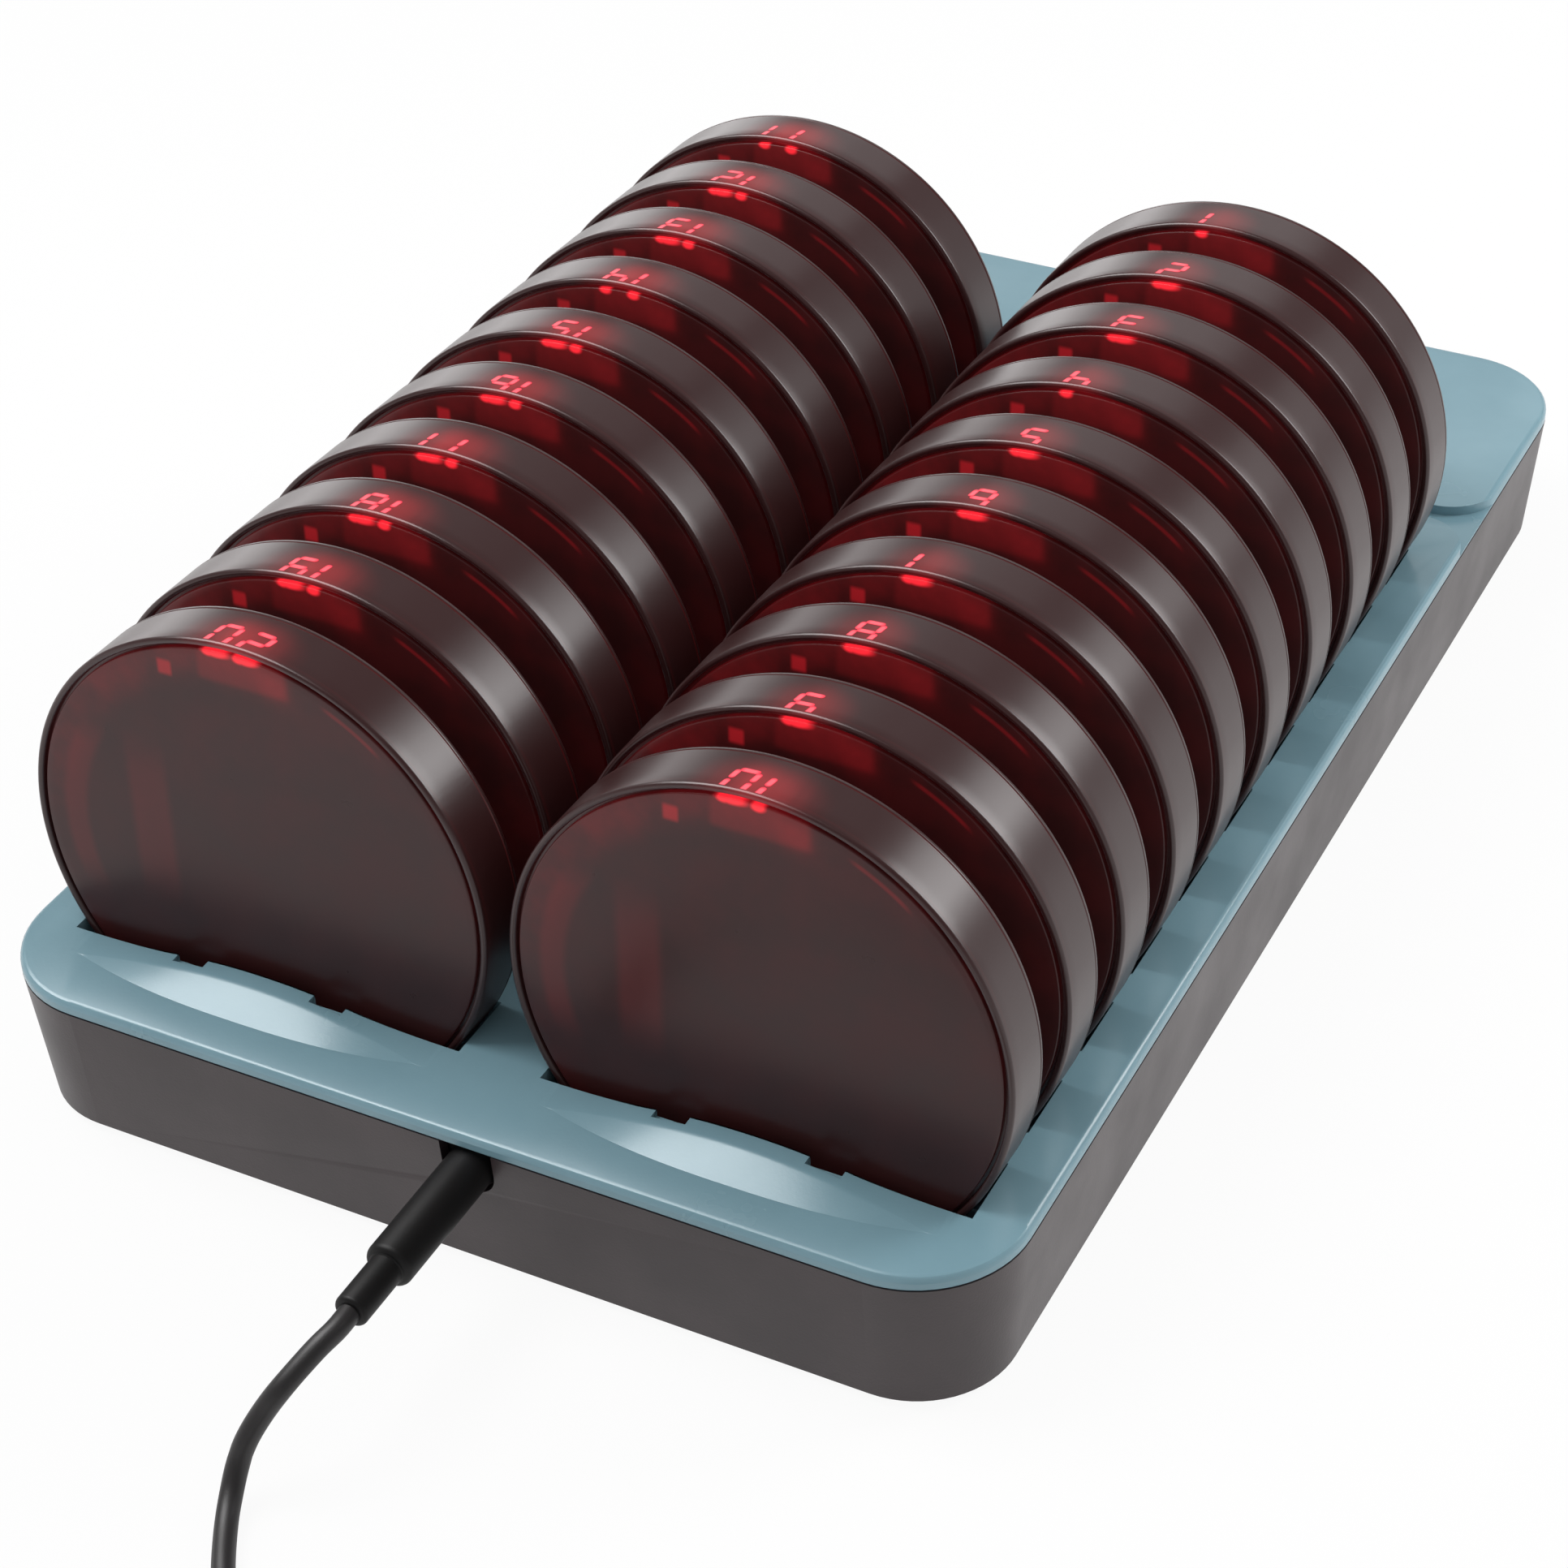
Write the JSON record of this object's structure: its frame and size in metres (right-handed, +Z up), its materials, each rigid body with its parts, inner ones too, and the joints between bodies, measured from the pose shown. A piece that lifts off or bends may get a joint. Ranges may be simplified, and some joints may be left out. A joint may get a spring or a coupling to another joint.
{
  "type": "guest pager system",
  "caption": "Counter-top charging base with two columns of leaning slots that hold round guest pagers, fed by a low-voltage lead with a mains adapter.",
  "frame": {"origin": "middle of the base's outline, on the surface it stands on", "axes": "+Y from the front wall with the power socket to the rear, +Z up, +X to the right seen from the front"},
  "size_m": [0.304, 0.4944, 0.1093],
  "materials": {
    "tray_plastic": "fine moulded texture",
    "cover_plastic": "satin moulded",
    "pager_plastic": "smoky dark red, satin gloss",
    "rubber": "matt",
    "black_plastic": "soft matt",
    "cord_jacket": "soft matt",
    "lead_insulation": "smooth",
    "circuit_board": "solder mask",
    "contact_metal": "gold plated",
    "plug_metal": "nickel plated",
    "screw_steel": "zinc plated",
    "display": "lit red",
    "battery_wrap": "shrink wrap"
  },
  "bodies": {
    "charging_base": {"bottom_tray": "tray_plastic", "top_cover": "cover_plastic", "rubber_feet": "rubber", "charge_boards": "circuit_board", "spring_contacts": "contact_metal", "power_jack": "black_plastic", "jack_leads": "lead_insulation", "case_screws": "screw_steel", "plug_barrel": "plug_metal", "plug_grip": "black_plastic", "cord_run": "cord_jacket", "cord_coil": "cord_jacket", "cord_tail": "cord_jacket", "cord_tie": "cord_jacket", "adapter_case": "black_plastic", "adapter_pins": "plug_metal"},
    "pager_01": {"pager_01_case": "pager_plastic", "pager_01_works": "circuit_board"},
    "pager_02": {"pager_02_case": "pager_plastic", "pager_02_works": "circuit_board"},
    "pager_03": {"pager_03_case": "pager_plastic", "pager_03_works": "circuit_board"},
    "pager_04": {"pager_04_case": "pager_plastic", "pager_04_works": "circuit_board"},
    "pager_05": {"pager_05_case": "pager_plastic", "pager_05_works": "circuit_board"},
    "pager_06": {"pager_06_case": "pager_plastic", "pager_06_works": "circuit_board"},
    "pager_07": {"pager_07_case": "pager_plastic", "pager_07_works": "circuit_board"},
    "pager_08": {"pager_08_case": "pager_plastic", "pager_08_works": "circuit_board"},
    "pager_09": {"pager_09_case": "pager_plastic", "pager_09_works": "circuit_board"},
    "pager_10": {"pager_10_rear_shell": "pager_plastic", "pager_10_front_cover": "pager_plastic", "pager_10_circuit_board": "circuit_board", "pager_10_display": "display", "pager_10_battery": "battery_wrap", "pager_10_charge_contacts": "contact_metal"},
    "pager_11": {"pager_11_case": "pager_plastic", "pager_11_works": "circuit_board"},
    "pager_12": {"pager_12_case": "pager_plastic", "pager_12_works": "circuit_board"},
    "pager_13": {"pager_13_case": "pager_plastic", "pager_13_works": "circuit_board"},
    "pager_14": {"pager_14_case": "pager_plastic", "pager_14_works": "circuit_board"},
    "pager_15": {"pager_15_case": "pager_plastic", "pager_15_works": "circuit_board"},
    "pager_16": {"pager_16_case": "pager_plastic", "pager_16_works": "circuit_board"},
    "pager_17": {"pager_17_case": "pager_plastic", "pager_17_works": "circuit_board"},
    "pager_18": {"pager_18_case": "pager_plastic", "pager_18_works": "circuit_board"},
    "pager_19": {"pager_19_case": "pager_plastic", "pager_19_works": "circuit_board"},
    "pager_20": {"pager_20_case": "pager_plastic", "pager_20_works": "circuit_board"}
  },
  "joints": [
    {"name": "pager_01_lift", "type": "slide", "parent": "charging_base", "child": "pager_01", "axis": [0, 0.0401, 0.9992], "range_m": [0, 0.08]},
    {"name": "pager_02_lift", "type": "slide", "parent": "charging_base", "child": "pager_02", "axis": [0, 0.0401, 0.9992], "range_m": [0, 0.08]},
    {"name": "pager_03_lift", "type": "slide", "parent": "charging_base", "child": "pager_03", "axis": [0, 0.0401, 0.9992], "range_m": [0, 0.08]},
    {"name": "pager_04_lift", "type": "slide", "parent": "charging_base", "child": "pager_04", "axis": [0, 0.0401, 0.9992], "range_m": [0, 0.08]},
    {"name": "pager_05_lift", "type": "slide", "parent": "charging_base", "child": "pager_05", "axis": [0, 0.0401, 0.9992], "range_m": [0, 0.08]},
    {"name": "pager_06_lift", "type": "slide", "parent": "charging_base", "child": "pager_06", "axis": [0, 0.0401, 0.9992], "range_m": [0, 0.08]},
    {"name": "pager_07_lift", "type": "slide", "parent": "charging_base", "child": "pager_07", "axis": [0, 0.0401, 0.9992], "range_m": [0, 0.08]},
    {"name": "pager_08_lift", "type": "slide", "parent": "charging_base", "child": "pager_08", "axis": [0, 0.0401, 0.9992], "range_m": [0, 0.08]},
    {"name": "pager_09_lift", "type": "slide", "parent": "charging_base", "child": "pager_09", "axis": [0, 0.0401, 0.9992], "range_m": [0, 0.08]},
    {"name": "pager_10_lift", "type": "slide", "parent": "charging_base", "child": "pager_10", "axis": [0, 0.0401, 0.9992], "range_m": [0, 0.08]},
    {"name": "pager_11_lift", "type": "slide", "parent": "charging_base", "child": "pager_11", "axis": [0, 0.0401, 0.9992], "range_m": [0, 0.08]},
    {"name": "pager_12_lift", "type": "slide", "parent": "charging_base", "child": "pager_12", "axis": [0, 0.0401, 0.9992], "range_m": [0, 0.08]},
    {"name": "pager_13_lift", "type": "slide", "parent": "charging_base", "child": "pager_13", "axis": [0, 0.0401, 0.9992], "range_m": [0, 0.08]},
    {"name": "pager_14_lift", "type": "slide", "parent": "charging_base", "child": "pager_14", "axis": [0, 0.0401, 0.9992], "range_m": [0, 0.08]},
    {"name": "pager_15_lift", "type": "slide", "parent": "charging_base", "child": "pager_15", "axis": [0, 0.0401, 0.9992], "range_m": [0, 0.08]},
    {"name": "pager_16_lift", "type": "slide", "parent": "charging_base", "child": "pager_16", "axis": [0, 0.0401, 0.9992], "range_m": [0, 0.08]},
    {"name": "pager_17_lift", "type": "slide", "parent": "charging_base", "child": "pager_17", "axis": [0, 0.0401, 0.9992], "range_m": [0, 0.08]},
    {"name": "pager_18_lift", "type": "slide", "parent": "charging_base", "child": "pager_18", "axis": [0, 0.0401, 0.9992], "range_m": [0, 0.08]},
    {"name": "pager_19_lift", "type": "slide", "parent": "charging_base", "child": "pager_19", "axis": [0, 0.0401, 0.9992], "range_m": [0, 0.08]},
    {"name": "pager_20_lift", "type": "slide", "parent": "charging_base", "child": "pager_20", "axis": [0, 0.0401, 0.9992], "range_m": [0, 0.08]}
  ]
}
